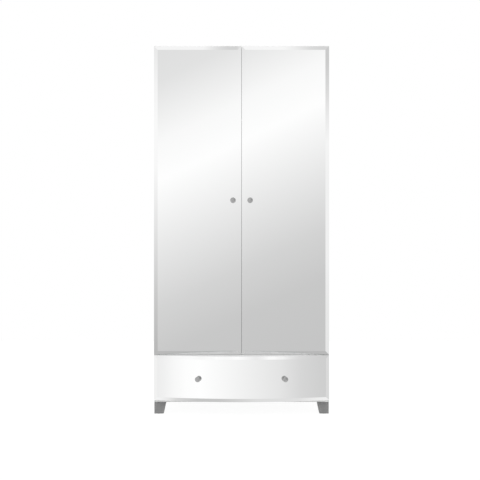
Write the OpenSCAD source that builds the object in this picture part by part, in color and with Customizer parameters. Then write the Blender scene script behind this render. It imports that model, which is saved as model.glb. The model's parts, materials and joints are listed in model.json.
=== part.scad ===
// Mirrored wardrobe: two hinged doors over one full-width drawer with a bowed front.
// Millimetres. +Z is up, the doors face -Y, and the floor is z = 0.
// Each sub-part is drawn with y = 0 at the front edges of the side panels, and
// in_place() then centres the whole piece of furniture on the origin.

/* [Overall] */
// Width over the mirrored sides
overall_w = 900; // [800:10:1000]
// Height from the floor to the top of the carcass
overall_h = 1900; // [1800:10:2050]
// Depth of the side panels, behind the doors
carcass_d = 500; // [490:5:560]
// Height of the underside of the carcass above the floor
base_z = 62; // [60:1:80]

/* [Boards] */
// Thickness of the top, divider and base panels and of the doors
board_t = 18; // [17:1:19]
// Thickness of the side boards, without their mirrors
side_t = 15; // [15:1:18]
// Thickness of the two back sheets
back_t = 3; // [3:0.5:4]
// Distance from the back sheets to the rear edges of the side panels
back_recess = 12; // [10:1:16]

/* [Mirrors] */
// Thickness of the mirrors on the doors and the drawer
mirror_t = 5; // [4:0.5:6]
// Thickness of the side mirrors
side_mirror_t = 4; // [4:0.5:5]
// Width of the ground bevel along the edges of a flat mirror
bevel_w = 19; // [14:1:28]
// Width of the ground bevel along the edges of the drawer's bent mirror
bent_bevel_w = 17; // [10:1:20]
// Depth of the bevel at the edge of a door mirror
bevel_drop = 2; // [1:0.25:2.5]

/* [Fronts] */
// Gap between the two doors
door_gap = 1.5; // [1.5:0.5:4]
// Gap behind the closed doors and drawer front
rear_gap = 2.5; // [2.5:0.25:3]
// Height of the drawer front
drawer_front_h = 232; // [218:1:236]
// Gap between the drawer front and the doors
drawer_gap = 1.5; // [1.5:0.5:5]
// How far the middle of the drawer front stands out beyond its ends
bow = 65; // [40:1:80]

/* [Knobs] */
// Largest diameter of a knob
knob_d = 28; // [26:1:32]
// Height of a knob above the mirror
knob_len = 27; // [25:1:32]
// Height of the door knobs above the floor
door_knob_z = 1102; // [1000:1:1200]
// Distance of the door knobs from the middle of the wardrobe
door_knob_x = 44; // [36:1:60]
// Distance of the drawer knobs from the middle of the wardrobe
drawer_knob_x = 220; // [205:5:270]

/* [Inside] */
// Height of the underside of the hat shelf above the floor
hat_shelf_z = 1600; // [1520:10:1620]
// Distance from the hat shelf down to the middle of the hanging rail
rail_drop = 55; // [50:1:80]
// Length of the drawer runners
runner_len = 450; // [400:10:450]
// Hinges on each door
hinge_count = 4; // [3:1:5]

/* [Hidden] */
$fn = 48;
fine = 96;        // roundness of knobs and cups
arc_fn = 720;     // roundness of the wide bow of the drawer front
through = 1;      // how far a cutter passes its surface

half_w = overall_w / 2;
side_total = side_t + side_mirror_t;
inner_x = half_w - side_total;              // inner face of a side board
back_y = carcass_d - back_recess - back_t;  // front face of the back sheets
groove = 6;                                 // depth of the back groove
top_z = overall_h - board_t;                // underside of the top panel
side_h = overall_h - base_z;

// Fronts
base_reveal = 13;                           // base panel seen below the drawer front
top_reveal = 6;                             // top panel seen above the doors
front_bottom = base_z + base_reveal;        // underside of the drawer front
drawer_top = front_bottom + drawer_front_h;
door_bottom = drawer_top + drawer_gap;
door_top = overall_h - top_reveal;
door_h = door_top - door_bottom;
door_w = half_w - door_gap / 2;
divider_z = drawer_top + drawer_gap / 2 - board_t / 2;
glass_y = -rear_gap - board_t;              // back of the mirrors
front_y = glass_y - mirror_t;               // front of the mirrors

// Bowed drawer front: arcs about one upright axis behind the wardrobe
bow_r = (half_w * half_w + bow * bow) / (2 * bow);
bow_axis_y = front_y - bow + bow_r;
bow_board_r = bow_r - mirror_t;
bow_rear_r = bow_board_r - board_t;
glue_t = 0.1;                               // between the bowed board and what carries it
bow_sweep = 2 * asin(half_w / bow_rear_r) + 2;
function bow_y(r, x) = bow_axis_y - sqrt(r * r - x * x);
knob_turn = asin(drawer_knob_x / bow_r);

// Knobs: a base, a flared waist and a head with a rounded edge and a shallow dome
knob_base_r = knob_d * 0.32;
knob_base_h = 2.5;
knob_waist_r = knob_d * 0.2;
knob_edge_r = knob_d * 0.2;
knob_flat_r = knob_d / 2 - knob_edge_r;     // inside the rounded edge
knob_dome_h = 1.5;
knob_dome_r = (knob_flat_r * knob_flat_r + knob_dome_h * knob_dome_h) / (2 * knob_dome_h);

// The furniture is centred between its foremost point and its rear edges
knob_tip_y = bow_axis_y - (bow_r + knob_len - knob_dome_r) * cos(knob_turn) - knob_dome_r;
centre_y = (carcass_d + min(knob_tip_y, front_y - bow)) / 2;

// Hinges: u is measured inward from the outer face of the side, as x is, and
// y from the front edges of the side panels
pin_u = 7.5;
pin_depth = 9.5;                  // pin behind the rear face of the door board
pin_y = -rear_gap - pin_depth;
pin_r = 1.25;
pin_half = 12;
eye_r = 2.2;
eye_half = 5.5;
running = 0.05;                   // radial clearance of a hinge eye on its pin
cup_u = 20.5;
cup_r = 17.5;
cup_wall = 1;
cup_depth = 13.5;
flange_t = 1;                     // cup's rim on the door
rim_w = 1;
wing_u = 30;                      // screws of the cup's two wings
wing_z = 22.5;
wing_r = 6;
arm_t = 2.2;
arm_leg_u = 22;                   // inner side of the arm's neck
arm_body_u = side_total + 11;
arm_rear = 66;
arm_half = 8;
plate_y = 37;                     // screw line of the mounting plates
plate_z = 16;
plate_t = 2;
neck_y = 7;                       // rear of the leg that joins neck and body
arm_web = 1.5;                    // its two flanges
arm_top_t = 2;
arm_hole_r = 3;
arm_fix_y = 52;                   // fixing screw of an arm, behind the adjusting one
arm_adjust_y = 26;
arm_cut = 14;                     // the arm's flanges start behind this
plate_wing_h = 25;
plate_wing_w = 9;
ridge_y = [17, 63];
ridge_half = 6;
hinge_end = 100;                  // from a door's end to its nearest hinge
function hinge_z(i) =
    door_bottom + hinge_end + (door_h - 2 * hinge_end) * i / (hinge_count - 1);

// Joinery of the top, divider and base panels
panel_zs = [base_z, divider_z, top_z];
joint_ys = [60, back_y - 75];      // cam bolts, with a dowel behind each
dowel_step = 32;
cam_r = 7.5;
cam_h = 12.5;
cam_in = 34;                      // cam centre from the panel's end
cam_bolt_r = 3;
cam_neck_r = 2.5;
cam_head_r = 3.6;
cam_head_t = 4;
cam_slot = [10, 1.6, 2.5];        // each arm of the cross slot: length, width, depth
bolt_in = 10;                     // depth of a bolt or dowel in the side board
dowel_r = 4;
dowel_len = 30;

// Screws
euro_r = 3.15;
euro_head_r = 4.5;
euro_head_t = 1.2;
euro_len = 12;
wood_r = 1.75;
wood_head_r = 3.4;
wood_head_t = 1.2;
wood_len = 13;
knob_screw_r = 2;
knob_screw_in = 13;               // screw's reach into a knob
knob_screw_head = [4, 2];         // radius and height
front_screw_len = 26;

// Inside
shelf_t = 16;
shelf_set_back = 25;
shelf_play = 1;                   // at each end
pin_hole_r = 2.5;
pin_in = 10;
pin_out = 9;
pin_collar = [4, 1];              // radius and thickness
pin_step = 32;                    // between the holes of a row
pin_rows = 2;                     // holes above and below the shelf's own
shelf_pin_ys = [50, back_y - 60];
rail_z = hat_shelf_z - rail_drop;
rail_y = back_y / 2;
rail_w = 15;
rail_h = 30;
rail_t = 1.2;
socket_t = 2;
socket_depth = 12;
socket_wall = 2.5;
socket_plate = [54, 26];          // height and depth
socket_screw_z = 21;              // screws above and below the rail's middle
bracket_x = 300;
bracket_w = 30;
bracket_leg = [30, 40];           // under the top panel, and down the back
bracket_t = 2;
bracket_screw = [8, 18];          // aside, and ahead of the back
wall_hole_r = 3;
wall_hole_z = top_z - 25;
wall_hole_play = 2;               // the back sheet's hole is wider by this
strip_z = 980;                    // joint between the two back sheets
strip_half = 12;
strip_web = 2;                    // half the web that parts the sheets
strip_t = 1;

// Feet
foot_top = 59;
foot_bottom = 47;
foot_plate_w = 50;
foot_plate_t = 2;
glide_r = 15;
glide_h = 4;
foot_lift = 2;                    // underside of the wooden foot above the floor
foot_bolt_r = 4;
foot_bolt_z = 25;                 // lower end of the bolt in the foot
foot_bolt_in = 12;                // its reach into the base panel
foot_x = half_w - foot_top / 2;
foot_ys = [foot_top / 2, carcass_d - foot_top / 2];
foot_screws = [[18, 18], [18, -9], [4, 18]];

// Drawer box and its telescopic runners
runner_t = 12.7;                  // from the side panel to the drawer side
runner_z = base_z + 115;
drawer_half = inner_x - runner_t;
drawer_board = 12;
drawer_box_h = 150;
drawer_box_z = runner_z - drawer_box_h / 2;
drawer_box_y = -rear_gap;
drawer_box_d = runner_len - 3;
bottom_t = 4;
bottom_z = drawer_box_z + 10;
bottom_groove = 5;
rib_t = 18;                       // bowed ribs along the top and bottom of the front
block_w = 60;                     // upright blocks between the ribs
block_xs = [-320, -160, 0, 160, 320];
front_screw_z = 45;               // above and below the middle of the box
runner_screw_ys = [37, runner_len / 2, runner_len - 30];
ball_r = 1.9;
ball_pitch = 20;
balls = 6;
outer_track = [5.4, 19.3];        // ball line: from the side panel, and from mid-height
inner_track = [7.4, 14.3];
outer_cage_y = 200;
inner_cage_y = 170;
cage_len = ball_pitch * balls;
cage_t = 0.4;
cage_lip_t = 0.5;
cage_hold = 0.25;                 // from a ball's middle to its cage's lip
outer_cage_ts = [1.5, 7.2];       // web and lip edge of each cage, from the side panel
inner_cage_ts = [3.6, 9.1];

// Each runner member: a web and two edges. The ts are measured from the side
// panel towards the drawer, and the hs from the runner's middle.
runner_web = 1.2;
runner_lip = 1;
outer_member_ts = [0, 8.6];
outer_member_h = 22.5;
outer_lip_t = 7.5;
outer_lip_h = 20;
middle_member_ts = [2.2, 10.4];
middle_member_h = 17.3;
middle_web_h = 18.6;
middle_lip_h = 15;
inner_member_ts = [4.4, runner_t];
inner_member_h = 12.3;
inner_lip_h = 13.6;
middle_ends = [5, 5];             // how far a member stops short of the outer one's ends
inner_ends = [2, 6];

mirror_colour = [0.87, 0.88, 0.89];
board_colour = [0.80, 0.80, 0.79];
sheet_colour = [0.72, 0.70, 0.67];
pewter_colour = [0.50, 0.50, 0.50];
zinc_colour = [0.74, 0.75, 0.76];
chrome_colour = [0.85, 0.86, 0.87];
foot_colour = [0.48, 0.48, 0.48];
plastic_colour = [0.90, 0.90, 0.89];
beech_colour = [0.78, 0.62, 0.42];

// ---------------------------------------------------------------- helpers

module in_place() {
    translate([0, -centre_y, 0])
        children();
}

module right_hand() {
    mirror([1, 0, 0])
        children();
}

module both_sides() {
    children();
    right_hand()
        children();
}

// Origin on the outer front corner of the left side
module at_left_corner() {
    translate([-half_w, 0, 0])
        children();
}

// Box between two corners
module block(low, high) {
    translate(low)
        cube(high - low);
}

// Cylinder whose axis runs along +X or +Y from the given point
module bar_x(from, r, length) {
    translate(from)
        rotate([0, 90, 0])
            cylinder(r = r, h = length);
}

module bar_y(from, r, length) {
    translate(from)
        rotate([-90, 0, 0])
            cylinder(r = r, h = length);
}

// Plan outline, in x and y, raised between two heights
module raised(low_z, high_z) {
    translate([0, 0, low_z])
        linear_extrude(high_z - low_z)
            children();
}

// Mirror plate lying in x and z, its bevelled face towards -Y. The bevel is
// where two trapezoid prisms cross.
module bevelled_plate(width, height, thick, drop) {
    section_w = [[0, 0], [width, 0], [width, drop - thick], [width - bevel_w, -thick],
                 [bevel_w, -thick], [0, drop - thick]];
    section_h = [[0, 0], [0, height], [drop - thick, height], [-thick, height - bevel_w],
                 [-thick, bevel_w], [drop - thick, 0]];
    intersection() {
        linear_extrude(height)
            polygon(section_w);
        rotate([90, 0, 90])
            linear_extrude(width)
                polygon(section_h);
    }
}

// ---------------------------------------------------------------- carcass

// Positions on a side panel where a cam bolt (0) or a dowel (1) enters
module at_panel_joints(which) {
    for (z = panel_zs, y = joint_ys)
        translate([0, y + which * dowel_step, z + board_t / 2])
            children();
}

module at_hinges() {
    for (i = [0 : hinge_count - 1])
        translate([0, 0, hinge_z(i)])
            children();
}

module at_plate_screws() {
    at_hinges()
        for (side = [-1, 1])
            translate([side_total, plate_y, side * plate_z])
                children();
}

module at_runner_screws() {
    for (y = runner_screw_ys)
        translate([side_total, y, runner_z])
            children();
}

module left_side_board() {
    difference() {
        block([side_mirror_t, 0, base_z], [side_total, carcass_d, overall_h]);
        block([side_total - groove, back_y, base_z - through],
              [side_total + through, back_y + back_t, overall_h + through]);
        at_panel_joints(0)
            bar_x([side_total - bolt_in, 0, 0], cam_bolt_r, bolt_in + through);
        at_panel_joints(1)
            bar_x([side_total - bolt_in, 0, 0], dowel_r, bolt_in + through);
        at_plate_screws()
            bar_x([-euro_len, 0, 0], euro_r, euro_len + through);
        at_runner_screws()
            bar_x([-euro_len, 0, 0], euro_r, euro_len + through);
        for (y = shelf_pin_ys, i = [-pin_rows : pin_rows])
            bar_x([side_total - pin_in, y, hat_shelf_z - pin_hole_r + i * pin_step],
                  pin_hole_r, pin_in + through);
        for (side = [-1, 1])
            bar_x([side_total - wood_len, rail_y, rail_z + side * socket_screw_z], wood_r,
                  wood_len + through);
    }
}

module left_side_panel() {
    color(board_colour)
        in_place()
            at_left_corner()
                left_side_board();
}

module right_side_panel() {
    color(board_colour)
        in_place()
            right_hand()
                at_left_corner()
                    left_side_board();
}

module side_mirror() {
    at_left_corner()
        translate([side_mirror_t, carcass_d, base_z])
            rotate([0, 0, -90])
                bevelled_plate(carcass_d, side_h, side_mirror_t, bevel_drop / 2);
}

module left_side_mirror() {
    color(mirror_colour)
        in_place()
            side_mirror();
}

module right_side_mirror() {
    color(mirror_colour)
        in_place()
            right_hand()
                side_mirror();
}

// Board between the side panels, drilled for its cams, bolts and dowels
module fixed_panel(z) {
    mid_z = z + board_t / 2;
    difference() {
        block([-inner_x, 0, z], [inner_x, back_y, z + board_t]);
        both_sides()
            for (y = joint_ys) {
                translate([-inner_x + cam_in, y, z - through])
                    cylinder(r = cam_r, h = cam_h + through);
                bar_x([-inner_x - through, y, mid_z], dowel_r, cam_in + through);
                bar_x([-inner_x - through, y + dowel_step, mid_z], dowel_r,
                      dowel_len - bolt_in + through);
            }
    }
}

module top_panel() {
    color(board_colour)
        in_place()
            difference() {
                fixed_panel(top_z);
                at_bracket_screws()
                    cylinder(r = wood_r, h = wood_len);
            }
}

module divider_panel() {
    color(board_colour)
        in_place()
            fixed_panel(divider_z);
}

module base_panel() {
    color(board_colour)
        in_place()
            difference() {
                fixed_panel(base_z);
                at_feet()
                    translate([0, 0, base_z - through])
                        cylinder(r = foot_bolt_r, h = foot_bolt_in + through);
                at_foot_screws()
                    cylinder(r = wood_r, h = wood_len);
            }
}

module hat_shelf() {
    color(board_colour)
        in_place()
            block([-inner_x + shelf_play, shelf_set_back, hat_shelf_z],
                  [inner_x - shelf_play, back_y - shelf_play, hat_shelf_z + shelf_t]);
}

module shelf_pins() {
    color(zinc_colour)
        in_place()
            both_sides()
                at_left_corner()
                    for (y = shelf_pin_ys) {
                        bar_x([side_total - pin_in, y, hat_shelf_z - pin_hole_r],
                              pin_hole_r, pin_in + pin_out);
                        bar_x([side_total, y, hat_shelf_z - pin_hole_r], pin_collar[0],
                              pin_collar[1]);
                    }
}

module back_sheet(low_z, high_z) {
    difference() {
        block([-inner_x - groove, back_y, low_z], [inner_x + groove, back_y + back_t, high_z]);
        at_brackets()
            bar_y([0, back_y - through, wall_hole_z], wall_hole_r + wall_hole_play,
                  back_t + 2 * through);
    }
}

module upper_back_sheet() {
    color(sheet_colour)
        in_place()
            back_sheet(strip_z + strip_web, overall_h);
}

module lower_back_sheet() {
    color(sheet_colour)
        in_place()
            back_sheet(base_z, strip_z - strip_web);
}

// H-shaped strip that holds the edges of the two back sheets
module back_joint_strip() {
    color(plastic_colour)
        in_place()
            difference() {
                block([-inner_x, back_y - strip_t, strip_z - strip_half],
                      [inner_x, back_y + back_t + strip_t, strip_z + strip_half]);
                block([-half_w, back_y, strip_z + strip_web],
                      [half_w, back_y + back_t, strip_z + strip_half + through]);
                block([-half_w, back_y, strip_z - strip_half - through],
                      [half_w, back_y + back_t, strip_z - strip_web]);
            }
}

// Cam with its mouth towards the panel's end and a cross slot below
module cam_lock() {
    difference() {
        cylinder(r = cam_r, h = cam_h);
        bar_x([-cam_r - through, 0, board_t / 2], dowel_r, cam_r + cam_bolt_r + through);
        for (turn = [0, 90])
            rotate([0, 0, turn])
                cube([cam_slot[0], cam_slot[1], 2 * cam_slot[2]], center = true);
    }
}

module cam_locks() {
    color(zinc_colour)
        in_place()
            both_sides()
                for (z = panel_zs, y = joint_ys)
                    translate([-inner_x + cam_in, y, z])
                        cam_lock();
}

module cam_bolts() {
    color(zinc_colour)
        in_place()
            both_sides()
                at_left_corner()
                    at_panel_joints(0) {
                        bar_x([side_total - bolt_in, 0, 0], cam_bolt_r, bolt_in);
                        bar_x([side_total, 0, 0], cam_neck_r, cam_in - cam_bolt_r);
                        bar_x([side_total + cam_in - cam_bolt_r, 0, 0], cam_head_r,
                              cam_head_t);
                    }
}

module dowels() {
    color(beech_colour)
        in_place()
            both_sides()
                at_left_corner()
                    at_panel_joints(1)
                        bar_x([side_total - bolt_in, 0, 0], dowel_r, dowel_len);
}

// ---------------------------------------------------------------- rail and wall fixing

// Oval of the hanging rail, upright, as a plan outline in z and y
module rail_oval(grow) {
    r = rail_w / 2 + grow;
    reach = (rail_h - rail_w) / 2;
    translate([reach, 0])
        circle(r);
    translate([-reach, 0])
        circle(r);
    square([2 * reach, 2 * r], center = true);
}

module along_rail(length) {
    translate([0, rail_y, rail_z])
        rotate([0, 90, 0])
            linear_extrude(length)
                children();
}

module hanging_rail() {
    rail_half = inner_x - socket_t;
    color(chrome_colour)
        in_place()
            translate([-rail_half, 0, 0])
                along_rail(2 * rail_half)
                    difference() {
                        rail_oval(0);
                        rail_oval(-rail_t);
                    }
}

// Open-topped cup: the rail drops in from above
module rail_sockets() {
    color(zinc_colour)
        in_place()
            both_sides()
                translate([-inner_x, 0, 0])
                    difference() {
                        union() {
                            along_rail(socket_t)
                                square(socket_plate, center = true);
                            along_rail(socket_t + socket_depth)
                                rail_oval(socket_wall);
                        }
                        translate([socket_t, 0, 0])
                            along_rail(socket_depth + through) {
                                rail_oval(0);
                                translate([-rail_h, -rail_w / 2])
                                    square([rail_h, rail_w]);
                            }
                        for (side = [-1, 1])
                            bar_x([-through, rail_y, rail_z + side * socket_screw_z],
                                  wood_r, socket_depth);
                    }
}

module at_brackets() {
    for (side = [-1, 1])
        translate([side * bracket_x, 0, 0])
            children();
}

module at_bracket_screws() {
    at_brackets()
        for (side = [-1, 1])
            translate([side * bracket_screw[0], back_y - bracket_screw[1], top_z])
                children();
}

// Angle inside the top rear corner, with a hole for a screw into the wall
module wall_brackets() {
    color(zinc_colour)
        in_place()
            difference() {
                at_brackets() {
                    block([-bracket_w / 2, back_y - bracket_leg[0], top_z - bracket_t],
                          [bracket_w / 2, back_y, top_z]);
                    block([-bracket_w / 2, back_y - bracket_t, top_z - bracket_leg[1]],
                          [bracket_w / 2, back_y, top_z]);
                }
                at_brackets()
                    bar_y([0, back_y - bracket_t - through, wall_hole_z], wall_hole_r,
                          bracket_t + 2 * through);
                at_bracket_screws()
                    translate([0, 0, -bracket_t - through])
                        cylinder(r = wood_r, h = bracket_t + 2 * through);
            }
}

// ---------------------------------------------------------------- feet

module at_feet() {
    for (side = [-1, 1], y = foot_ys)
        translate([side * foot_x, y, 0])
            children();
}

// Three screws per mounting plate, all under the base panel and clear of its joints:
// measured inward and towards the middle of the depth from the foot's bolt
module at_foot_screws() {
    for (side = [-1, 1], rear = [0, 1], place = foot_screws)
        translate([side * (foot_x - place[0]),
                   foot_ys[rear] + (1 - 2 * rear) * place[1], base_z])
            children();
}

// Square foot whose two inner faces taper in towards the floor. One trapezoid
// prism per direction: the outer corner, at the origin, stays upright.
module tapered_foot() {
    height = base_z - foot_plate_t - foot_lift;
    section = [[0, 0], [foot_bottom, 0], [foot_top, height], [0, height]];
    intersection() {
        translate([0, foot_top, 0])
            rotate([90, 0, 0])
                linear_extrude(foot_top)
                    polygon(section);
        rotate([90, 0, 90])
            linear_extrude(foot_top)
                polygon(section);
    }
}

module foot(side, y) {
    rear = y > carcass_d / 2;
    translate([side * foot_x, y, foot_lift])
        mirror([side > 0 ? 1 : 0, 0, 0])
            mirror([0, rear ? 1 : 0, 0])
                translate([-foot_top / 2, -foot_top / 2, 0])
                    tapered_foot();
}

module feet() {
    color(foot_colour)
        in_place()
            difference() {
                for (side = [-1, 1], y = foot_ys)
                    foot(side, y);
                at_feet()
                    translate([0, 0, foot_bolt_z])
                        cylinder(r = foot_bolt_r, h = base_z);
                at_feet_glides()
                    cylinder(r = glide_r, h = glide_h);
            }
}

// Middle of the underside of each foot
module at_feet_glides() {
    for (side = [-1, 1], rear = [0, 1])
        translate([side * (half_w - foot_bottom / 2),
                   rear * carcass_d + (1 - 2 * rear) * foot_bottom / 2, 0])
            children();
}

module foot_glides() {
    color(plastic_colour)
        in_place()
            at_feet_glides()
                cylinder(r = glide_r, h = glide_h);
}

module foot_plates() {
    color(zinc_colour)
        in_place()
            difference() {
                at_feet()
                    translate([0, 0, base_z - foot_plate_t / 2])
                        cube([foot_plate_w, foot_plate_w, foot_plate_t], center = true);
                at_feet()
                    cylinder(r = foot_bolt_r, h = base_z + through);
                at_foot_screws() {
                    translate([0, 0, -foot_plate_t - through])
                        cylinder(r = wood_r, h = foot_plate_t + 2 * through);
                    translate([0, 0, -foot_plate_t - through])
                        cylinder(r = wood_head_r, h = wood_head_t + through);
                }
            }
}

module foot_bolts() {
    color(zinc_colour)
        in_place()
            at_feet()
                translate([0, 0, foot_bolt_z])
                    cylinder(r = foot_bolt_r, h = base_z + foot_bolt_in - foot_bolt_z);
}

// ---------------------------------------------------------------- screws of the carcass

// Screw along +X whose flush head ends at x = 0
module euro_screw() {
    bar_x([-euro_head_t, 0, 0], euro_head_r, euro_head_t);
    bar_x([-euro_len, 0, 0], euro_r, euro_len - euro_head_t);
}

module euro_screws() {
    color(zinc_colour)
        in_place()
            both_sides()
                at_left_corner() {
                    at_plate_screws()
                        translate([plate_t, 0, 0])
                            euro_screw();
                    at_runner_screws()
                        translate([euro_head_t, 0, 0])
                            euro_screw();
                }
}

// Screw along +Z whose head is below z = 0
module wood_screw() {
    translate([0, 0, -wood_head_t])
        cylinder(r = wood_head_r, h = wood_head_t);
    cylinder(r = wood_r, h = wood_len);
}

module wood_screws() {
    color(zinc_colour)
        in_place() {
            at_bracket_screws()
                translate([0, 0, -bracket_t])
                    wood_screw();
            at_foot_screws()
                translate([0, 0, wood_head_t - foot_plate_t])
                    wood_screw();
            both_sides()
                at_left_corner()
                    for (side = [-1, 1])
                        translate([side_total + socket_t, rail_y,
                                   rail_z + side * socket_screw_z])
                            rotate([0, -90, 0])
                                wood_screw();
        }
}

// ---------------------------------------------------------------- hinges

// Plan outline of an arm's neck: the eye, the reach through the cup and the
// leg that passes the side panel's front edge
module arm_neck_outline() {
    difference() {
        union() {
            translate([pin_u, pin_y])
                circle(eye_r);
            translate([pin_u, pin_y - arm_t])
                square([arm_leg_u - pin_u, arm_t]);
            translate([arm_leg_u - arm_t, pin_y - arm_t])
                square([arm_t, arm_t - pin_y + neck_y]);
            translate([arm_leg_u - arm_t, neck_y - arm_t])
                square([arm_body_u - arm_leg_u + arm_t, arm_t]);
        }
        translate([pin_u, pin_y])
            circle(pin_r + running);
    }
}

// Neck and, behind it, a folded body that straddles the mounting plate's ridge
module hinge_arm() {
    low = side_total + plate_t + running;
    web_u = arm_body_u - arm_top_t;
    raised(-eye_half, eye_half)
        arm_neck_outline();
    difference() {
        block([low, neck_y - arm_t, -arm_half], [arm_body_u, arm_rear, arm_half]);
        block([side_total, neck_y, arm_web - arm_half],
              [web_u, arm_rear + through, arm_half - arm_web]);
        block([side_total, 0, -arm_half - through], [web_u, arm_cut, arm_half + through]);
        for (y = [arm_adjust_y, arm_fix_y])
            bar_x([web_u - through, y, 0], arm_hole_r, arm_top_t + 2 * through);
    }
}

module left_hinge_arms() {
    color(zinc_colour)
        in_place()
            at_left_corner()
                at_hinges()
                    hinge_arm();
}

module right_hinge_arms() {
    color(zinc_colour)
        in_place()
            right_hand()
                at_left_corner()
                    at_hinges()
                        hinge_arm();
}

// Plate with two wings, and a ridge that carries the arm
module hinge_plate() {
    difference() {
        union() {
            block([side_total, plate_y - plate_wing_w, -plate_wing_h],
                  [side_total + plate_t, plate_y + plate_wing_w, plate_wing_h]);
            block([side_total, ridge_y[0], -ridge_half],
                  [arm_body_u - arm_top_t, ridge_y[1], ridge_half]);
        }
        for (side = [-1, 1]) {
            bar_x([side_total - through, plate_y, side * plate_z], euro_r,
                  plate_t + 2 * through);
            bar_x([side_total + plate_t - euro_head_t, plate_y, side * plate_z],
                  euro_head_r, euro_head_t + through);
        }
        bar_x([side_total + plate_t, arm_fix_y, 0], cam_neck_r, arm_body_u);
    }
}

module hinge_plates() {
    color(zinc_colour)
        in_place()
            both_sides()
                at_left_corner()
                    at_hinges()
                        hinge_plate();
}

// Cup let into the door, with two screwed wings
module hinge_cup() {
    difference() {
        union() {
            bar_y([cup_u, -rear_gap - cup_depth, 0], cup_r, cup_depth);
            bar_y([cup_u, -rear_gap, 0], cup_r + rim_w, flange_t);
            block([wing_u - wing_r, -rear_gap, -wing_z],
                  [wing_u + wing_r, flange_t - rear_gap, wing_z]);
            for (side = [-1, 1])
                bar_y([wing_u, -rear_gap, side * wing_z], wing_r, flange_t);
        }
        bar_y([cup_u, cup_wall - rear_gap - cup_depth, 0], cup_r - cup_wall,
              cup_depth + flange_t);
        translate([pin_u, pin_y, -pin_half])
            cylinder(r = pin_r, h = 2 * pin_half);
        for (side = [-1, 1])
            bar_y([wing_u, -rear_gap - through, side * wing_z], wood_r,
                  flange_t + 2 * through);
    }
}

// Pin across the cup, its ends flush with the cup's round wall
module hinge_pin() {
    intersection() {
        translate([pin_u, pin_y, -pin_half])
            cylinder(r = pin_r, h = 2 * pin_half);
        bar_y([cup_u, -rear_gap - cup_depth, 0], cup_r, cup_depth);
    }
}

module left_hinge_cups() {
    color(zinc_colour)
        in_place()
            at_left_corner()
                at_hinges()
                    hinge_cup();
}

module right_hinge_cups() {
    color(zinc_colour)
        in_place()
            right_hand()
                at_left_corner()
                    at_hinges()
                        hinge_cup();
}

module left_hinge_pins() {
    color(zinc_colour)
        in_place()
            at_left_corner()
                at_hinges()
                    hinge_pin();
}

module right_hinge_pins() {
    color(zinc_colour)
        in_place()
            right_hand()
                at_left_corner()
                    at_hinges()
                        hinge_pin();
}

// Soft stops on the front edges of the carcass, a little short of the fronts
module front_bumpers() {
    stop_r = 4;
    stop_t = rear_gap - 0.3;
    stop_end = 20;
    door_stop_x = 30;
    drawer_stop_x = inner_x + side_t / 2;
    color(plastic_colour)
        in_place()
            both_sides() {
                for (z = [divider_z + board_t - stop_r, (top_z + door_top) / 2])
                    bar_y([-door_stop_x, -stop_t, z], stop_r, stop_t);
                for (z = [front_bottom + stop_end, drawer_top - stop_end])
                    bar_y([-drawer_stop_x, -stop_t, z], stop_r, stop_t);
            }
}

// ---------------------------------------------------------------- doors

module at_door_knob() {
    translate([-door_knob_x, 0, door_knob_z])
        children();
}

// Board with the outer rear arris rounded, so that it clears the carcass
module door_board() {
    arris = 2;
    difference() {
        block([-half_w, glass_y, door_bottom], [-door_gap / 2, -rear_gap, door_top]);
        difference() {
            block([-half_w - through, -rear_gap - arris, door_bottom - through],
                  [-half_w + arris, through - rear_gap, door_top + through]);
            translate([-half_w + arris, -rear_gap - arris, door_bottom - 2 * through])
                cylinder(r = arris, h = door_h + 4 * through);
        }
        at_left_corner()
            at_hinges() {
                bar_y([cup_u, -rear_gap - cup_depth, 0], cup_r, cup_depth + through);
                for (side = [-1, 1])
                    bar_y([wing_u, -rear_gap - wood_len + flange_t, side * wing_z], wood_r,
                          wood_len);
            }
        at_door_knob()
            bar_y([0, glass_y - through, 0], knob_screw_r, board_t + 2 * through);
    }
}

module door_mirror() {
    difference() {
        translate([-half_w, glass_y, door_bottom])
            bevelled_plate(door_w, door_h, mirror_t, bevel_drop);
        at_door_knob()
            bar_y([0, front_y - through, 0], knob_screw_r, mirror_t + 2 * through);
    }
}

// Turned knob standing on the mirror along +Z
module knob() {
    flare = knob_base_r - knob_waist_r;
    head_z = knob_len - knob_dome_h - knob_edge_r;
    difference() {
        rotate_extrude($fn = fine) {
            square([knob_base_r, knob_base_h]);
            square([knob_waist_r, head_z]);
            difference() {
                translate([0, knob_base_h])
                    square([knob_base_r, flare]);
                translate([knob_base_r, knob_base_h + flare])
                    circle(flare);
            }
            translate([knob_flat_r, head_z])
                circle(knob_edge_r);
            translate([0, head_z - knob_edge_r])
                square([knob_flat_r, 2 * knob_edge_r]);
            intersection() {
                translate([0, knob_len - knob_dome_r])
                    circle(knob_dome_r);
                translate([0, head_z])
                    square([knob_flat_r, knob_d]);
            }
        }
        translate([0, 0, -through])
            cylinder(r = knob_screw_r, h = knob_screw_in + through);
    }
}

// Round-headed screw up through board and mirror into the knob, along +Z from z = 0
module knob_screw() {
    front_t = board_t + mirror_t;
    translate([0, 0, -front_t - knob_screw_head[1]])
        cylinder(r = knob_screw_head[0], h = knob_screw_head[1]);
    translate([0, 0, -front_t])
        cylinder(r = knob_screw_r, h = front_t + knob_screw_in);
}

module door_knob() {
    at_door_knob()
        translate([0, front_y, 0])
            rotate([90, 0, 0])
                knob();
}

// Wing screws of the hinge cups, and the knob's screw
module door_screws() {
    at_left_corner()
        at_hinges()
            for (side = [-1, 1])
                translate([wing_u, flange_t - rear_gap, side * wing_z])
                    rotate([90, 0, 0])
                        wood_screw();
    at_door_knob()
        translate([0, front_y, 0])
            rotate([90, 0, 0])
                knob_screw();
}

module left_door_board() {
    color(board_colour)
        in_place()
            door_board();
}

module left_door_mirror() {
    color(mirror_colour)
        in_place()
            door_mirror();
}

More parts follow.
